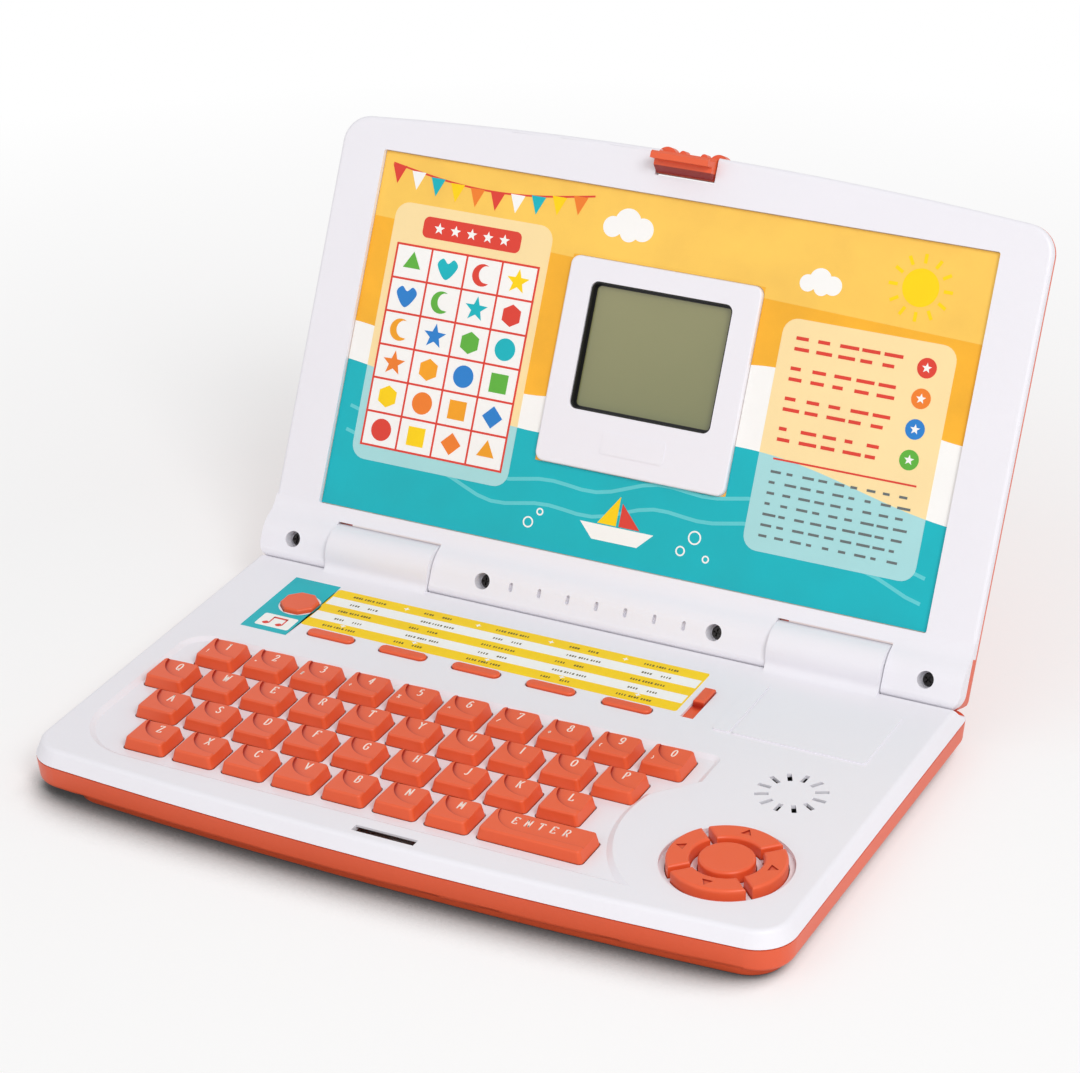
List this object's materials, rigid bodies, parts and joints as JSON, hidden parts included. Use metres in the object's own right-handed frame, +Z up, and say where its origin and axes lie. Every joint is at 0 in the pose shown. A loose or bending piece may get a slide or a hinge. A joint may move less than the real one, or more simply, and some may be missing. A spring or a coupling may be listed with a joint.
{
  "type": "toy laptop computer",
  "caption": "Toy laptop: white and orange clamshell with press keys, function bars, direction pad, speaker grille, sliding switch and a hinged lid with a small display and a snap catch.",
  "frame": {"origin": "middle of the base's plan at its underside, where it rests on the table", "axes": "+X to the right as seen by the child at the keys, +Y to the back, where the lid's hinge is, +Z up"},
  "size_m": [0.25, 0.2232, 0.1529],
  "materials": {
    "white_shell": "satin moulded white",
    "orange_shell": "satin moulded orange",
    "orange_button": "satin moulded orange",
    "key_rubber": "matt silicone",
    "circuit_board": "lacquered laminate",
    "speaker": "painted steel basket and paper cone",
    "display": "grey-green reflective display",
    "printed_card": "printed in yellow, white and teal"
  },
  "bodies": {
    "base": {"base_top_shell": "white_shell", "base_bottom_shell": "orange_shell", "key_membrane": "key_rubber", "circuit_board": "circuit_board", "speaker": "speaker", "battery_door": "orange_shell"},
    "lid": {"lid_front_shell": "white_shell", "lid_rear_shell": "orange_shell", "lcd_panel": "display", "screen_card": "printed_card"},
    "latch": {"latch": "orange_button"},
    "key_1": {"key_1": "orange_button"},
    "key_2": {"key_2": "orange_button"},
    "key_3": {"key_3": "orange_button"},
    "key_4": {"key_4": "orange_button"},
    "key_5": {"key_5": "orange_button"},
    "key_6": {"key_6": "orange_button"},
    "key_7": {"key_7": "orange_button"},
    "key_8": {"key_8": "orange_button"},
    "key_9": {"key_9": "orange_button"},
    "key_0": {"key_0": "orange_button"},
    "key_q": {"key_q": "orange_button"},
    "key_w": {"key_w": "orange_button"},
    "key_e": {"key_e": "orange_button"},
    "key_r": {"key_r": "orange_button"},
    "key_t": {"key_t": "orange_button"},
    "key_y": {"key_y": "orange_button"},
    "key_u": {"key_u": "orange_button"},
    "key_i": {"key_i": "orange_button"},
    "key_o": {"key_o": "orange_button"},
    "key_p": {"key_p": "orange_button"},
    "key_a": {"key_a": "orange_button"},
    "key_s": {"key_s": "orange_button"},
    "key_d": {"key_d": "orange_button"},
    "key_f": {"key_f": "orange_button"},
    "key_g": {"key_g": "orange_button"},
    "key_h": {"key_h": "orange_button"},
    "key_j": {"key_j": "orange_button"},
    "key_k": {"key_k": "orange_button"},
    "key_l": {"key_l": "orange_button"},
    "key_z": {"key_z": "orange_button"},
    "key_x": {"key_x": "orange_button"},
    "key_c": {"key_c": "orange_button"},
    "key_v": {"key_v": "orange_button"},
    "key_b": {"key_b": "orange_button"},
    "key_n": {"key_n": "orange_button"},
    "key_m": {"key_m": "orange_button"},
    "key_enter": {"key_enter": "orange_button"},
    "function_button_1": {"function_button_1": "orange_button"},
    "function_button_2": {"function_button_2": "orange_button"},
    "function_button_3": {"function_button_3": "orange_button"},
    "function_button_4": {"function_button_4": "orange_button"},
    "function_button_5": {"function_button_5": "orange_button"},
    "melody_button": {"melody_button": "orange_button"},
    "right_button": {"right_button": "orange_button"},
    "up_button": {"up_button": "orange_button"},
    "left_button": {"left_button": "orange_button"},
    "down_button": {"down_button": "orange_button"},
    "centre_button": {"centre_button": "orange_button"},
    "power_switch": {"power_switch": "orange_button"}
  },
  "joints": [
    {"name": "lid_hinge", "type": "hinge", "parent": "base", "child": "lid", "pos_m": [0, 0.0743, 0.0197], "axis": [1, 0, 0], "range_deg": [-10, 116.8]},
    {"name": "latch_rock", "type": "hinge", "parent": "lid", "child": "latch", "pos_m": [0, 0.14033, 0.14487], "axis": [1, 0, 0], "range_deg": [0, 6], "stiffness_Nm_per_rad": 0.004, "springref_deg": -5.73},
    {"name": "key_1_press", "type": "slide", "parent": "base", "child": "key_1", "axis": [0, 0, -1], "range_m": [0, 0.0016], "stiffness_N_per_m": 150, "springref_m": -0.0005, "deforming": ["key_membrane"]},
    {"name": "key_2_press", "type": "slide", "parent": "base", "child": "key_2", "axis": [0, 0, -1], "range_m": [0, 0.0016], "stiffness_N_per_m": 150, "springref_m": -0.0005, "deforming": ["key_membrane"]},
    {"name": "key_3_press", "type": "slide", "parent": "base", "child": "key_3", "axis": [0, 0, -1], "range_m": [0, 0.0016], "stiffness_N_per_m": 150, "springref_m": -0.0005, "deforming": ["key_membrane"]},
    {"name": "key_4_press", "type": "slide", "parent": "base", "child": "key_4", "axis": [0, 0, -1], "range_m": [0, 0.0016], "stiffness_N_per_m": 150, "springref_m": -0.0005, "deforming": ["key_membrane"]},
    {"name": "key_5_press", "type": "slide", "parent": "base", "child": "key_5", "axis": [0, 0, -1], "range_m": [0, 0.0016], "stiffness_N_per_m": 150, "springref_m": -0.0005, "deforming": ["key_membrane"]},
    {"name": "key_6_press", "type": "slide", "parent": "base", "child": "key_6", "axis": [0, 0, -1], "range_m": [0, 0.0016], "stiffness_N_per_m": 150, "springref_m": -0.0005, "deforming": ["key_membrane"]},
    {"name": "key_7_press", "type": "slide", "parent": "base", "child": "key_7", "axis": [0, 0, -1], "range_m": [0, 0.0016], "stiffness_N_per_m": 150, "springref_m": -0.0005, "deforming": ["key_membrane"]},
    {"name": "key_8_press", "type": "slide", "parent": "base", "child": "key_8", "axis": [0, 0, -1], "range_m": [0, 0.0016], "stiffness_N_per_m": 150, "springref_m": -0.0005, "deforming": ["key_membrane"]},
    {"name": "key_9_press", "type": "slide", "parent": "base", "child": "key_9", "axis": [0, 0, -1], "range_m": [0, 0.0016], "stiffness_N_per_m": 150, "springref_m": -0.0005, "deforming": ["key_membrane"]},
    {"name": "key_0_press", "type": "slide", "parent": "base", "child": "key_0", "axis": [0, 0, -1], "range_m": [0, 0.0016], "stiffness_N_per_m": 150, "springref_m": -0.0005, "deforming": ["key_membrane"]},
    {"name": "key_q_press", "type": "slide", "parent": "base", "child": "key_q", "axis": [0, 0, -1], "range_m": [0, 0.0016], "stiffness_N_per_m": 150, "springref_m": -0.0005, "deforming": ["key_membrane"]},
    {"name": "key_w_press", "type": "slide", "parent": "base", "child": "key_w", "axis": [0, 0, -1], "range_m": [0, 0.0016], "stiffness_N_per_m": 150, "springref_m": -0.0005, "deforming": ["key_membrane"]},
    {"name": "key_e_press", "type": "slide", "parent": "base", "child": "key_e", "axis": [0, 0, -1], "range_m": [0, 0.0016], "stiffness_N_per_m": 150, "springref_m": -0.0005, "deforming": ["key_membrane"]},
    {"name": "key_r_press", "type": "slide", "parent": "base", "child": "key_r", "axis": [0, 0, -1], "range_m": [0, 0.0016], "stiffness_N_per_m": 150, "springref_m": -0.0005, "deforming": ["key_membrane"]},
    {"name": "key_t_press", "type": "slide", "parent": "base", "child": "key_t", "axis": [0, 0, -1], "range_m": [0, 0.0016], "stiffness_N_per_m": 150, "springref_m": -0.0005, "deforming": ["key_membrane"]},
    {"name": "key_y_press", "type": "slide", "parent": "base", "child": "key_y", "axis": [0, 0, -1], "range_m": [0, 0.0016], "stiffness_N_per_m": 150, "springref_m": -0.0005, "deforming": ["key_membrane"]},
    {"name": "key_u_press", "type": "slide", "parent": "base", "child": "key_u", "axis": [0, 0, -1], "range_m": [0, 0.0016], "stiffness_N_per_m": 150, "springref_m": -0.0005, "deforming": ["key_membrane"]},
    {"name": "key_i_press", "type": "slide", "parent": "base", "child": "key_i", "axis": [0, 0, -1], "range_m": [0, 0.0016], "stiffness_N_per_m": 150, "springref_m": -0.0005, "deforming": ["key_membrane"]},
    {"name": "key_o_press", "type": "slide", "parent": "base", "child": "key_o", "axis": [0, 0, -1], "range_m": [0, 0.0016], "stiffness_N_per_m": 150, "springref_m": -0.0005, "deforming": ["key_membrane"]},
    {"name": "key_p_press", "type": "slide", "parent": "base", "child": "key_p", "axis": [0, 0, -1], "range_m": [0, 0.0016], "stiffness_N_per_m": 150, "springref_m": -0.0005, "deforming": ["key_membrane"]},
    {"name": "key_a_press", "type": "slide", "parent": "base", "child": "key_a", "axis": [0, 0, -1], "range_m": [0, 0.0016], "stiffness_N_per_m": 150, "springref_m": -0.0005, "deforming": ["key_membrane"]},
    {"name": "key_s_press", "type": "slide", "parent": "base", "child": "key_s", "axis": [0, 0, -1], "range_m": [0, 0.0016], "stiffness_N_per_m": 150, "springref_m": -0.0005, "deforming": ["key_membrane"]},
    {"name": "key_d_press", "type": "slide", "parent": "base", "child": "key_d", "axis": [0, 0, -1], "range_m": [0, 0.0016], "stiffness_N_per_m": 150, "springref_m": -0.0005, "deforming": ["key_membrane"]},
    {"name": "key_f_press", "type": "slide", "parent": "base", "child": "key_f", "axis": [0, 0, -1], "range_m": [0, 0.0016], "stiffness_N_per_m": 150, "springref_m": -0.0005, "deforming": ["key_membrane"]},
    {"name": "key_g_press", "type": "slide", "parent": "base", "child": "key_g", "axis": [0, 0, -1], "range_m": [0, 0.0016], "stiffness_N_per_m": 150, "springref_m": -0.0005, "deforming": ["key_membrane"]},
    {"name": "key_h_press", "type": "slide", "parent": "base", "child": "key_h", "axis": [0, 0, -1], "range_m": [0, 0.0016], "stiffness_N_per_m": 150, "springref_m": -0.0005, "deforming": ["key_membrane"]},
    {"name": "key_j_press", "type": "slide", "parent": "base", "child": "key_j", "axis": [0, 0, -1], "range_m": [0, 0.0016], "stiffness_N_per_m": 150, "springref_m": -0.0005, "deforming": ["key_membrane"]},
    {"name": "key_k_press", "type": "slide", "parent": "base", "child": "key_k", "axis": [0, 0, -1], "range_m": [0, 0.0016], "stiffness_N_per_m": 150, "springref_m": -0.0005, "deforming": ["key_membrane"]},
    {"name": "key_l_press", "type": "slide", "parent": "base", "child": "key_l", "axis": [0, 0, -1], "range_m": [0, 0.0016], "stiffness_N_per_m": 150, "springref_m": -0.0005, "deforming": ["key_membrane"]},
    {"name": "key_z_press", "type": "slide", "parent": "base", "child": "key_z", "axis": [0, 0, -1], "range_m": [0, 0.0016], "stiffness_N_per_m": 150, "springref_m": -0.0005, "deforming": ["key_membrane"]},
    {"name": "key_x_press", "type": "slide", "parent": "base", "child": "key_x", "axis": [0, 0, -1], "range_m": [0, 0.0016], "stiffness_N_per_m": 150, "springref_m": -0.0005, "deforming": ["key_membrane"]},
    {"name": "key_c_press", "type": "slide", "parent": "base", "child": "key_c", "axis": [0, 0, -1], "range_m": [0, 0.0016], "stiffness_N_per_m": 150, "springref_m": -0.0005, "deforming": ["key_membrane"]},
    {"name": "key_v_press", "type": "slide", "parent": "base", "child": "key_v", "axis": [0, 0, -1], "range_m": [0, 0.0016], "stiffness_N_per_m": 150, "springref_m": -0.0005, "deforming": ["key_membrane"]},
    {"name": "key_b_press", "type": "slide", "parent": "base", "child": "key_b", "axis": [0, 0, -1], "range_m": [0, 0.0016], "stiffness_N_per_m": 150, "springref_m": -0.0005, "deforming": ["key_membrane"]},
    {"name": "key_n_press", "type": "slide", "parent": "base", "child": "key_n", "axis": [0, 0, -1], "range_m": [0, 0.0016], "stiffness_N_per_m": 150, "springref_m": -0.0005, "deforming": ["key_membrane"]},
    {"name": "key_m_press", "type": "slide", "parent": "base", "child": "key_m", "axis": [0, 0, -1], "range_m": [0, 0.0016], "stiffness_N_per_m": 150, "springref_m": -0.0005, "deforming": ["key_membrane"]},
    {"name": "key_enter_press", "type": "slide", "parent": "base", "child": "key_enter", "axis": [0, 0, -1], "range_m": [0, 0.0016], "stiffness_N_per_m": 250, "springref_m": -0.0005, "deforming": ["key_membrane"]},
    {"name": "function_button_1_press", "type": "slide", "parent": "base", "child": "function_button_1", "axis": [0, 0, -1], "range_m": [0, 0.0008], "stiffness_N_per_m": 100, "springref_m": -0.0004, "deforming": ["key_membrane"]},
    {"name": "function_button_2_press", "type": "slide", "parent": "base", "child": "function_button_2", "axis": [0, 0, -1], "range_m": [0, 0.0008], "stiffness_N_per_m": 100, "springref_m": -0.0004, "deforming": ["key_membrane"]},
    {"name": "function_button_3_press", "type": "slide", "parent": "base", "child": "function_button_3", "axis": [0, 0, -1], "range_m": [0, 0.0008], "stiffness_N_per_m": 100, "springref_m": -0.0004, "deforming": ["key_membrane"]},
    {"name": "function_button_4_press", "type": "slide", "parent": "base", "child": "function_button_4", "axis": [0, 0, -1], "range_m": [0, 0.0008], "stiffness_N_per_m": 100, "springref_m": -0.0004, "deforming": ["key_membrane"]},
    {"name": "function_button_5_press", "type": "slide", "parent": "base", "child": "function_button_5", "axis": [0, 0, -1], "range_m": [0, 0.0008], "stiffness_N_per_m": 100, "springref_m": -0.0004, "deforming": ["key_membrane"]},
    {"name": "melody_button_press", "type": "slide", "parent": "base", "child": "melody_button", "axis": [0, 0, -1], "range_m": [0, 0.0012], "stiffness_N_per_m": 120, "springref_m": -0.0004, "deforming": ["key_membrane"]},
    {"name": "right_button_press", "type": "slide", "parent": "base", "child": "right_button", "axis": [0, 0, -1], "range_m": [0, 0.0015], "stiffness_N_per_m": 120, "springref_m": -0.0005, "deforming": ["key_membrane"]},
    {"name": "up_button_press", "type": "slide", "parent": "base", "child": "up_button", "axis": [0, 0, -1], "range_m": [0, 0.0015], "stiffness_N_per_m": 120, "springref_m": -0.0005, "deforming": ["key_membrane"]},
    {"name": "left_button_press", "type": "slide", "parent": "base", "child": "left_button", "axis": [0, 0, -1], "range_m": [0, 0.0015], "stiffness_N_per_m": 120, "springref_m": -0.0005, "deforming": ["key_membrane"]},
    {"name": "down_button_press", "type": "slide", "parent": "base", "child": "down_button", "axis": [0, 0, -1], "range_m": [0, 0.0015], "stiffness_N_per_m": 120, "springref_m": -0.0005, "deforming": ["key_membrane"]},
    {"name": "centre_button_press", "type": "slide", "parent": "base", "child": "centre_button", "axis": [0, 0, -1], "range_m": [0, 0.0015], "stiffness_N_per_m": 150, "springref_m": -0.0005, "deforming": ["key_membrane"]},
    {"name": "power_switch_slide", "type": "slide", "parent": "base", "child": "power_switch", "axis": [0, -1, 0], "range_m": [0, 0.0086]}
  ]
}
